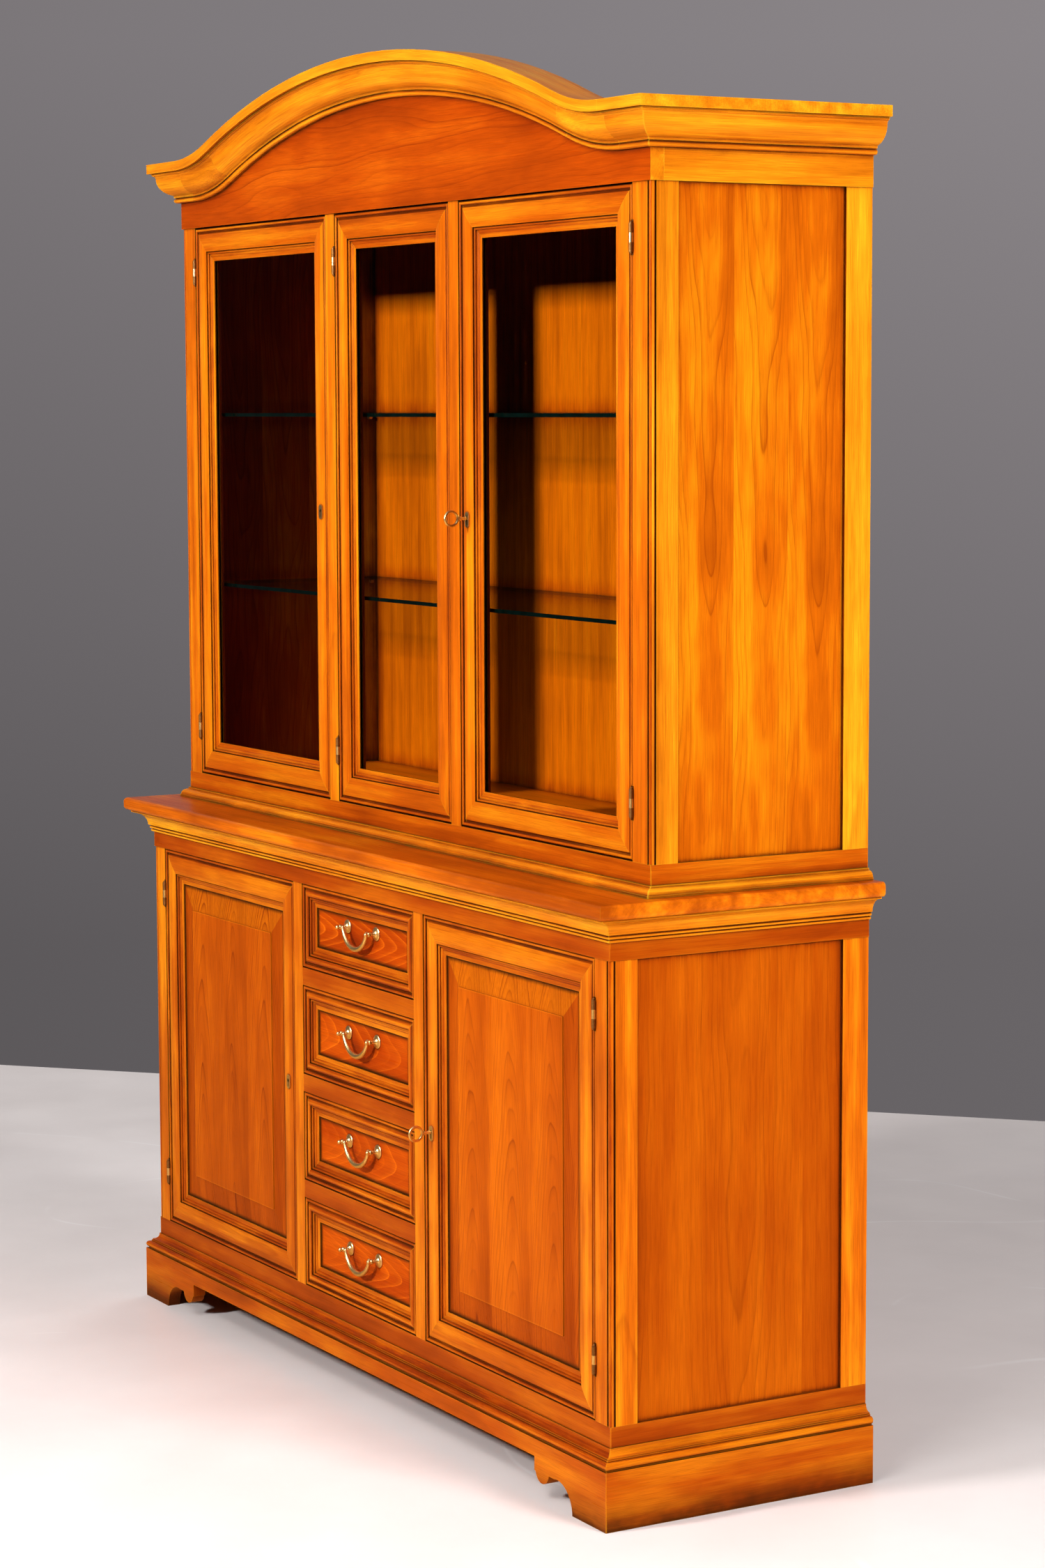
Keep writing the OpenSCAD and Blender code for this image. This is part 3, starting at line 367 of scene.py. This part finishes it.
def wax_and_shade_amount(n, streaky, halo, halo_reach, slopes):
    """How much brown wax and painted shade lie round the corners, and painted shade on slanted faces if
    asked.
    """
    # partly brown wax, partly painted shade: darker near corners and the edges of frames
    far = n.math("SUBTRACT", 1.0, n.hollow(halo_reach))
    soft = n.math("MULTIPLY", n.math("MULTIPLY", n.span(far, 0.05, 0.42), streaky), halo, clamp=True)
    if slopes:
        # painted shade: the sloping faces of a moulded frame are drawn darker than its flat
        front = n.math("ABSOLUTE", n.split(n.coordinates("Normal"))[1])
        slanted = n.math("MULTIPLY", n.span(front, 0.999, 0.94), n.span(front, 0.10, 0.30))
        slanted = n.math("MULTIPLY", n.math("MULTIPLY", slanted, slopes), streaky, clamp=True)
        soft = n.math("MAXIMUM", soft, slanted)
    return soft


def waxed_and_shaded(n, colour, soft, smear, quirk):
    """The colour under the brown wax and painted shade, with near-black glaze and painted shade in the
    corners themselves.
    """
    # partly real glaze, partly painted shade: near-black where a corner or crease closes in
    near = n.math("SUBTRACT", 1.0, n.hollow(QUIRK_REACH))
    hard = n.math("MULTIPLY", n.span(near, 0.16, 0.54), n.span(smear, 0.2, 0.6, 0.7, 1.0))
    colour = n.mix(n.span(soft, 0.0, 0.55), colour, n.mix(1.0, colour, WAX_AND_SHADE_FILTER, "MULTIPLY"))
    colour = n.mix(n.span(soft, 0.40, 1.10), colour, WAX_AND_SHADE)
    return n.mix(n.math("MULTIPLY", hard, quirk), colour, GLAZE_AND_SHADE)


def rubbed(n, smear, field_inset):
    """How far the arrises, and the edge of a raised field, are drawn lighter: partly rubbed, partly painted
    highlight.
    """
    rub_and_highlight = n.span(n.hollow(ARRIS, True), 0.75, 0.50)
    rub_and_highlight = n.math("MULTIPLY", rub_and_highlight, n.span(smear, 0.35, 0.65, 0.2, 1.1), clamp=True)
    if field_inset is not None:
        edge = n.span(n.math("ABSOLUTE", n.math("SUBTRACT", field_inset, BEVEL)), 0.0018, 0.0006)
        rub_and_highlight = n.math("MAXIMUM", rub_and_highlight, n.math("MULTIPLY", edge, n.span(smear, 0.30, 0.65, 0.6, 1.0)))
    return rub_and_highlight


def wood(name, light, mid, dark, heart=0.10, taper=0.02, ring=0.004, bend=0.5, figure=0.3, leaf=0.0,
         loops=0.0, streak=0.8, cloudy=1.5, halo=0.75, halo_reach=0.030, slopes=0.0, quirk=0.95, edge_wear_and_highlight=0.35,
         dark_near_floor=0.0, shine=0.14, bounce=1.0, framed=False, raised=False, rail_shade=0.0, painted_dark_top=False,
         line_colour=None):
    """Stained and lacquered cherry.

    The rings are cones round the tree's heart, which the board cuts. They show as nested arches where the
    cones open fast (a large taper), and as straight lines where they don't. Glaze and painted shade darken
    the corners, and the arrises are drawn lighter, partly rubbed and partly as painted highlight. Lengths are
    in metres, and most other values are strengths from 0 up.
    """
    n = Material(name)
    grain, board = board_place(n, leaf)
    line = ring_lines(n, grain, board, heart, taper, ring, bend, figure, loops)
    colour = ground_colour(n, grain, board, light, mid, dark, cloudy, streak, rail_shade)
    fibre = n.stretched(grain, 18.0, 1100.0, 2.0, 0.6)
    pores = n.stretched(grain, 90.0, 2600.0, 1.0)
    brush = n.stretched(grain, 4.0, 420.0, 3.0, 0.65)
    smear = n.stretched(grain, 11.0, 26.0, 3.0, 0.65)

    inset = panel_inset(n) if framed else None
    if raised:
        colour, line = field_slopes(n, colour, line, inset, light)
    if painted_dark_top:
        # painted shade and reflection: the flat top is drawn darker than its rounded edge, for the dark hutch
        # mirrored in it and the edge catching light from above
        colour = n.mix(n.span(n.normal_z(), 0.93, 0.995), colour, (0.78, 0.62, 0.6), "MULTIPLY")
    colour = n.mix(line, colour, line_colour or dark)
    colour = n.mix(n.span(fibre, 0.38, 0.70, 0.0, 0.45), colour, dark)
    colour = n.mix(n.span(pores, 0.64, 0.76, 0.0, 0.20), colour, GLAZE_AND_SHADE)

    streaky = n.math("MULTIPLY", n.span(smear, 0.30, 0.70, 0.45, 1.25), n.span(brush, 0.30, 0.70, 0.55, 1.35))
    soft = wax_and_shade_amount(n, streaky, halo, halo_reach, slopes)
    colour = waxed_and_shaded(n, colour, soft, smear, quirk)
    if framed:
        # painted shadow: dark along the edge of the panel, where its frame stands over it
        frame_shadow = n.math("MULTIPLY", n.span(inset, 0.0080, 0.0020), n.span(smear, 0.2, 0.6, 0.8, 1.0))
        colour = n.mix(frame_shadow, colour, GLAZE_AND_SHADE)
    if dark_near_floor:
        # darker towards the floor
        low = n.span(n.split(n.coordinates("Object"))[2], DARK_NEAR_FLOOR_HEIGHT, 0.0)
        low = n.math("MULTIPLY", low, n.span(smear, 0.2, 0.8, 0.3, 1.3), clamp=True)
        colour = n.mix(n.math("MULTIPLY", low, dark_near_floor), colour, GLAZE_AND_SHADE)
    # partly real rubbing, partly painted highlight: the arrises get a lighter colour
    bright = tuple(min(1.0, c * k) for c, k in zip(light, (1.25, 1.5, 2.5)))
    rub_and_highlight = rubbed(n, smear, inset if raised else None)
    colour = n.mix(n.math("MULTIPLY", rub_and_highlight, edge_wear_and_highlight), colour, bright)
    if bounce < 1.0:
        # gives less light on to its neighbours, so a corner no lamp reaches stays dark
        colour = n.mix(n.ray("Is Diffuse Ray"), colour, n.mix(1.0, colour, (bounce,) * 3, "MULTIPLY"))

    rough = n.math("ADD", n.span(brush, 0.2, 0.8, 0.24, 0.38), n.math("MULTIPLY", soft, 0.15))
    height = n.math("ADD", n.math("MULTIPLY", fibre, 0.5), n.math("MULTIPLY", pores, -0.8))
    normal = n.bump(height, 0.12, 0.0004, n.round_edges(EDGE_RADIUS))
    n.principled(colour, rough, normal, Specular_IOR_Level=shine, Specular_Tint=GOLDEN_GLOSS)
    return n.mat


GOLD = dict(light=(0.96, 0.325, 0.0060), mid=(0.70, 0.142, 0.0022), dark=(0.22, 0.022, 0.001))
YELLOW = dict(light=(1.0, 0.450, 0.0120), mid=(0.84, 0.250, 0.0050), dark=(0.24, 0.028, 0.001))
FRAME = dict(light=(0.90, 0.280, 0.0060), mid=(0.58, 0.115, 0.0022), dark=(0.20, 0.020, 0.001))
BAND = dict(light=(0.74, 0.190, 0.0035), mid=(0.52, 0.090, 0.0016), dark=(0.20, 0.020, 0.001))
RED = dict(light=(0.64, 0.100, 0.0020), mid=(0.42, 0.046, 0.0010), dark=(0.20, 0.020, 0.001))
PANEL = dict(light=(0.66, 0.135, 0.0022), mid=(0.48, 0.080, 0.0014), dark=(0.20, 0.022, 0.001))
FRIEZE = dict(light=(0.70, 0.130, 0.0030), mid=(0.48, 0.064, 0.0014), dark=(0.20, 0.020, 0.001))
SIDE = dict(light=(0.86, 0.262, 0.0040), mid=(0.60, 0.120, 0.0018), dark=(0.24, 0.030, 0.001))
LOW_SIDE = dict(light=(0.60, 0.122, 0.0024), mid=(0.44, 0.069, 0.0014), dark=(0.20, 0.026, 0.001))
PLINTH = dict(light=(0.86, 0.250, 0.0050), mid=(0.60, 0.110, 0.0020), dark=(0.20, 0.020, 0.001))
INNER = dict(light=(1.0, 0.250, 0.002), mid=(0.93, 0.190, 0.001), dark=(0.34, 0.048, 0.001))
LINES = dict(heart=0.16, taper=0.012, ring=0.0045, figure=0.34)

golden = wood("golden_frame_wood", **GOLD, **LINES, rail_shade=0.5, cloudy=0.75, streak=1.1, slopes=0.45,
              halo=0.95, halo_reach=0.034)
base_frame = wood("base_frame_wood", **FRAME, **LINES, rail_shade=0.3, cloudy=1.1, slopes=0.55, halo=1.0,
                  halo_reach=0.038)
band_wood = wood("level_band_wood", **BAND, **LINES, rail_shade=0.8, cloudy=1.4)
moulding = wood("golden_moulding_wood", **YELLOW, **LINES, halo=0.95, halo_reach=0.034, streak=0.9,
                cloudy=0.8)
door_panel = wood("door_panel_wood", **PANEL, heart=0.022, taper=0.10, ring=0.0050, bend=0.50, figure=1.0,
                  leaf=0.060, loops=3.5, streak=0.4, cloudy=1.0, halo=0.8, halo_reach=0.045, shine=0.05,
                  framed=True, raised=True)
red_panel = wood("red_panel_wood", **RED, heart=0.020, taper=0.22, ring=0.0090, bend=0.60, figure=0.7,
                 streak=0.35, loops=1.2, line_colour=(0.90, 0.180, 0.004), cloudy=0.8, halo=0.9,
                 halo_reach=0.040, shine=0.02, framed=True)
frieze_wood = wood("frieze_wood", **FRIEZE, heart=0.012, taper=0.05, ring=0.0090, bend=0.9, figure=0.9,
                   cloudy=1.1, loops=6.0, streak=0.35, halo=0.9, halo_reach=0.045, shine=0.05)
side_wood = wood("side_panel_wood", **SIDE, heart=0.014, taper=-0.030, ring=0.0060, bend=0.55, figure=0.7,
                 leaf=0.046, loops=7.0, streak=0.7, cloudy=1.4, shine=0.03)
shaded_low_side_wood = wood("base_side_panel_wood", **LOW_SIDE, heart=0.02, taper=-0.02, ring=0.008, bend=0.8,
                     figure=0.55, leaf=0.11, loops=4.0, streak=0.5, cloudy=0.8, halo=0.95, halo_reach=0.045,
                     shine=0.03)
top_wood = wood("countertop_wood", **GOLD, **LINES, shine=0.3, painted_dark_top=True)
plinth_wood = wood("plinth_wood", **PLINTH, rail_shade=0.7, heart=0.06, taper=0.05, ring=0.006, figure=0.30,
                   dark_near_floor=0.9)
inner_wood = wood("inner_wood", **INNER, heart=0.02, taper=0.06, ring=0.008, figure=0.3, halo=0.5, quirk=0.7,
                  shine=0.02, cloudy=0.9, edge_wear_and_highlight=0.0, bounce=0.3)

# ---------- metal and glass ----------

BOUNCED_LIGHT = 0.07   # the share of bounced light that gets through the glass


def brass_material(name, light, dark, rough, spotted=0.25):
    """Metal that is tarnished in its hollows and in spots."""
    n = Material(name)
    p = n.coordinates("Object")
    spots = n.noise(p, 420.0, 4.0, 0.65)
    hair = n.noise(p, 2400.0, 2.0)
    low = n.math("SUBTRACT", 1.0, n.hollow(0.003))
    in_spots = n.span(spots, 0.45, 0.8, 0.0, spotted)
    tarnish = n.math("ADD", n.span(low, 0.25, 0.8, 0.0, 0.8), in_spots, clamp=True)
    colour = n.mix(tarnish, light, dark)
    roughness = n.math("ADD", n.span(spots, 0.3, 0.7, rough, rough + 0.08), n.math("MULTIPLY", tarnish, 0.12))
    n.principled(colour, roughness, n.bump(hair, 0.05, 0.0001), Metallic=1.0)
    return n.mat


def glass_material(name, tint, edge_tint):
    """Thin clear glass that lets light through, with faint dust in its shine."""
    n = Material(name)
    dust = n.noise(n.coordinates("Object"), 30.0, 4.0, 0.7)
    gloss = n.t.nodes.new("ShaderNodeBsdfPrincipled")
    gloss.inputs["Base Color"].default_value = (*edge_tint, 1.0)
    n.put(gloss.inputs["Roughness"], n.span(dust, 0.3, 0.8, 0.015, 0.05))
    gloss.inputs["IOR"].default_value = 1.5
    clear = n.t.nodes.new("ShaderNodeBsdfTransparent")
    # light that has already bounced about outside hardly gets in, so the cabinet is dark where no lamp shines
    n.put(clear.inputs[0], n.mix(n.ray("Is Diffuse Ray"), tint, tuple(BOUNCED_LIGHT * c for c in tint)))
    facing = n.t.nodes.new("ShaderNodeLayerWeight")
    facing.inputs["Blend"].default_value = 0.5
    both = n.t.nodes.new("ShaderNodeMixShader")
    n.put(both.inputs[0], n.math("MULTIPLY_ADD", n.math("POWER", facing.outputs["Facing"], 5.0), 0.60, 0.02))
    n.put(both.inputs[1], clear.outputs[0])
    n.put(both.inputs[2], gloss.outputs[0])
    n.put(n.out.inputs[0], both.outputs[0])
    return n.mat


def glass_edge_material():
    """The dark green of a glass shelf seen through its edge."""
    n = Material("shelf_edge")
    patchy = n.noise(n.coordinates("Object"), 40.0)
    n.principled(n.ramp(patchy, (0.3, (0.0005, 0.003, 0.002)), (0.7, (0.001, 0.008, 0.006))), 0.08,
                 Specular_IOR_Level=0.6)
    return n.mat


brass = brass_material("aged_brass", (0.92, 0.66, 0.30), (0.24, 0.12, 0.035), 0.32)
hinge_brass = brass_material("dark_brass", (0.30, 0.140, 0.045), (0.08, 0.035, 0.012), 0.50, 0.7)
steel = brass_material("bright_steel", (0.62, 0.62, 0.60), (0.25, 0.24, 0.22), 0.24)
door_glass = glass_material("door_glass", (0.99, 0.99, 0.98), (0.001, 0.001, 0.001))
shelf_glass = glass_material("shelf_glass", (0.94, 0.96, 0.95), (0.001, 0.004, 0.003))

# ---------- which piece is made of what ----------

LOOK = {
    "plinth_boards": plinth_wood, "plinth_moulding": base_frame, "base_bottom_band": band_wood,
    "base_posts": base_frame, "base_mullions": base_frame, "drawer_rails": band_wood,
    "base_inner_boards": inner_wood, "base_shelves": inner_wood, "drawer_runners": inner_wood,
    "base_top_band": band_wood, "counter_moulding": moulding, "countertop": top_wood,
    "hutch_foot_moulding": moulding, "hutch_bottom_band": golden, "hutch_posts": golden,
    "hutch_mullions": golden, "hutch_deck_and_ceiling": inner_wood, "side_panels": side_wood,
    "back_panels": inner_wood, "glass_shelves": shelf_glass, "shelf_pins": brass, "frieze": frieze_wood,
    "cornice_moulding": moulding, "top_board": moulding,
}
FIRST_SEED = 100
DRAWERS = range(1, 5)
THIN_PANEL = 0.0115    # a drawer's flat panel is thinner than this, and its borders are thicker
POST_ZONE = 0.12       # how far in from the cabinet's sides the outer faces of the posts lie
RETURN_ZONE = 0.10     # how far in from the cabinet's sides the frieze's return boards lie
BAIL_EVEN_PART = 0.012  # the top of a bail, which keeps its own thickness
BAIL_SWELL = 0.0012


def material_of(name):
    """A piece's material: its own if the list has one, or else the one for its kind."""
    if name in LOOK:
        return LOOK[name]
    if name.endswith("_glass"):
        return door_glass
    if name.endswith("_bolt"):
        return steel
    if "hinge" in name:
        return hinge_brass
    if any(k in name for k in ("hardware", "pull", "bail", "key")):
        return brass
    if name.endswith("_box"):
        return inner_wood
    if name.endswith("_panel"):
        return door_panel
    return base_frame if name.startswith(("base_", "drawer_")) else golden


def second_material(name, mat, chosen):
    """Gives the chosen faces of a piece another material."""
    me = nodes[name].data
    me.materials.append(mat)
    for f in me.polygons:
        if chosen(f):
            f.material_index = 1


for i, (name, o) in enumerate(sorted(nodes.items())):
    o.data.materials.clear()
    o.data.materials.append(material_of(name))
    add_grain(o, FIRST_SEED + i, follow_arch=name in ("cornice_moulding", "top_board"),
              axis=2 if name == "back_panels" else None)
    if material_of(name) is door_panel:
        add_opening(o, slice(None))

second_material("glass_shelves", glass_edge_material(), lambda f: abs(f.normal.z) < 0.5)

# painted light: the stiles' side faces get a lighter, yellower wood than the fronts, for the stronger light
# on the sides
posts_start = cad_hi[0] - POST_ZONE
for name, lighter in (("hutch_posts", moulding), ("base_posts", golden)):
    second_material(name, lighter, lambda f: abs(f.normal.x) > 0.9 and abs(f.center.x) > posts_start)

# painted shade: the base's side panels get a darker, redder wood than the hutch's, for the light falling off
# lower down
middle = 0.5 * (cad_lo[2] + cad_hi[2])
second_material("side_panels", shaded_low_side_wood, lambda f: f.center.z < middle)

# the frieze's return boards have the colour of the mouldings
returns_start = cad_hi[0] - RETURN_ZONE
behind_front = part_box("frieze")[0][1] + 0.001
second_material("frieze", moulding, lambda f: abs(f.center.x) > returns_start and f.center.y > behind_front)

# the drawers' flat panels are redder than their borders
for i in DRAWERS:
    name = f"drawer_{i}_front"
    co, part = parts_of(nodes[name].data)
    thin = [k for k in range(part.max() + 1) if np.ptp(co[part == k][:, 1]) < THIN_PANEL]
    in_panel = np.isin(part, thin)
    add_opening(nodes[name], in_panel)
    panel_vertices = set(np.flatnonzero(in_panel).tolist())
    second_material(name, red_panel, lambda f: f.vertices[0] in panel_vertices)

# each bail is thickest at the bottom of its bow
for i in DRAWERS:
    o = nodes[f"drawer_{i}_bail"]
    heights = parts_of(o.data)[0][:, 2]
    start, bottom = heights.max() - BAIL_EVEN_PART, heights.min()
    group = o.vertex_groups.new(name="bow")
    for v, z in enumerate(heights):
        group.add([v], float(np.clip((start - z) / (start - bottom), 0.0, 1.0)), "REPLACE")
    swell = o.modifiers.new("swell", "DISPLACE")
    swell.vertex_group, swell.strength, swell.mid_level = "bow", BAIL_SWELL, 0.0

# ---------- studio ----------

GREY = (0.185, 0.170, 0.178)
DARK_GREY = (0.014, 0.013, 0.0135)
WARM_FLOOR = (0.52, 0.30, 0.08)
# the far edge is where a wall would stand, at an angle behind the cabinet
FLOOR_CORNERS = [(-9, -9, 0), (9, -9, 0), (9, 11.67, 0), (-9, -5.24, 0)]


def floor_material():
    """A pale floor with grime and thin scrapes."""
    n = Material("studio_floor")
    p = n.coordinates("Object")
    pale = n.ramp(n.noise(p, 1.3, 5.0, 0.6), (0.3, (0.72, 0.66, 0.64)), (0.7, (0.82, 0.76, 0.74)))
    # thin pale scrapes, some of them worn away
    scrape = n.math("ABSOLUTE", n.math("SUBTRACT", n.noise(p, 0.85, 1.0), 0.5))
    scrape = n.math("MULTIPLY", n.span(scrape, 0.0030, 0.0006), n.span(n.noise(p, 2.6, 3.0), 0.46, 0.60))
    pale = n.mix(n.math("MULTIPLY", scrape, 0.5), pale, (0.95, 0.93, 0.92))
    # mirrored in the lacquer, the floor is dim and warm
    colour = n.mix(n.ray("Is Glossy Ray"), pale, WARM_FLOOR)
    n.principled(colour, n.span(n.noise(p, 6.0, 4.0), 0.3, 0.7, 0.35, 0.5))
    return n.mat


def plane(name, corners, mat):
    me = bpy.data.meshes.new(name)
    me.from_pydata(corners, [], [tuple(range(len(corners)))])
    me.materials.append(mat)
    o = bpy.data.objects.new(name, me)
    scene.collection.objects.link(o)


def studio_world():
    """A grey room: it lights the cabinet mostly from behind and the left, and is one grey to the camera."""
    world = bpy.data.worlds.new("studio")
    scene.world = world
    world.use_nodes = True
    n = Nodes(world.node_tree)
    background = n.t.nodes["Background"]
    way = n.coordinates("Generated")
    lighting = n.ramp(n.dot(way, (-0.6, 0.8, 0.25)), (0.1, DARK_GREY), (0.9, GREY))
    n.put(background.inputs["Color"], n.mix(n.ray("Is Camera Ray"), lighting, GREY))
    # stronger upwards, and towards one side
    upwards = n.span(n.split(way)[2], -0.15, 0.10, 0.60, 1.10)
    sideways = n.span(n.dot(way, (0.50, 0.866, 0.0)), -0.15, 0.15, 0.97, 1.27)
    n.put(background.inputs["Strength"], n.math("MULTIPLY", upwards, sideways))


def softbox(name, at, aim, size, power, spread=180, mirrored=True):
    """A square lamp at one point, turned towards another. It may be hidden from reflections."""
    data = bpy.data.lights.new(name, "AREA")
    data.size, data.energy, data.spread = size, power, math.radians(spread)
    o = bpy.data.objects.new(name, data)
    o.location = at
    o.rotation_euler = (Vector(aim) - Vector(at)).to_track_quat("-Z", "Y").to_euler()
    o.visible_camera = False
    o.visible_glossy = mirrored
    scene.collection.objects.link(o)


plane("floor", FLOOR_CORNERS, floor_material())
studio_world()
softbox("front_key", (0.20, -3.95, 2.60), (0.1, 0.0, 1.45), 0.45, 190)
softbox("side_key", (4.6, 0.9, 2.3), (0.8, 0.0, 1.3), 1.2, 215, mirrored=False)
softbox("top_light", (0.6, -2.6, 4.6), (0.0, 0.0, 1.2), 2.0, 30)
softbox("floor_light", (2.2, -4.2, 4.3), (1.6, -2.8, 0.0), 2.4, 70, 75)
softbox("left_fill", (-4.6, -0.2, 2.4), (-0.8, 0.0, 1.1), 2.0, 40, mirrored=False)
softbox("back_light", (-2.5, 3.6, 3.4), (0.0, 0.0, 1.0), 2.4, 60, mirrored=False)

# ---------- camera ----------

# where the camera stood and which way it was turned, from the fit to the photograph's straight edges
CAMERA_PLACE = (4.9030, -2.7492, 1.5812)
CAMERA_RIGHT = Vector((0.50341, 0.86404, -0.0036))
CAMERA_DOWN = Vector((0.09034, -0.05678, -0.99429))
CAMERA_FORWARD = Vector((-0.85931, 0.50021, -0.10664))
LENS, FILM = 81.0192, 36.0    # millimetres, the film along the picture's longer side

cam_data = bpy.data.cameras.new("camera")
cam_data.sensor_width = FILM
cam_data.lens = LENS
cam_data.clip_end = 100
cam = bpy.data.objects.new("camera", cam_data)
turned = Matrix((CAMERA_RIGHT, -CAMERA_DOWN, -CAMERA_FORWARD)).transposed().to_4x4()
turned.translation = CAMERA_PLACE
cam.matrix_world = turned
scene.collection.objects.link(cam)
scene.camera = cam
scene.view_settings.view_transform = "Standard"
scene.view_settings.look = "None"
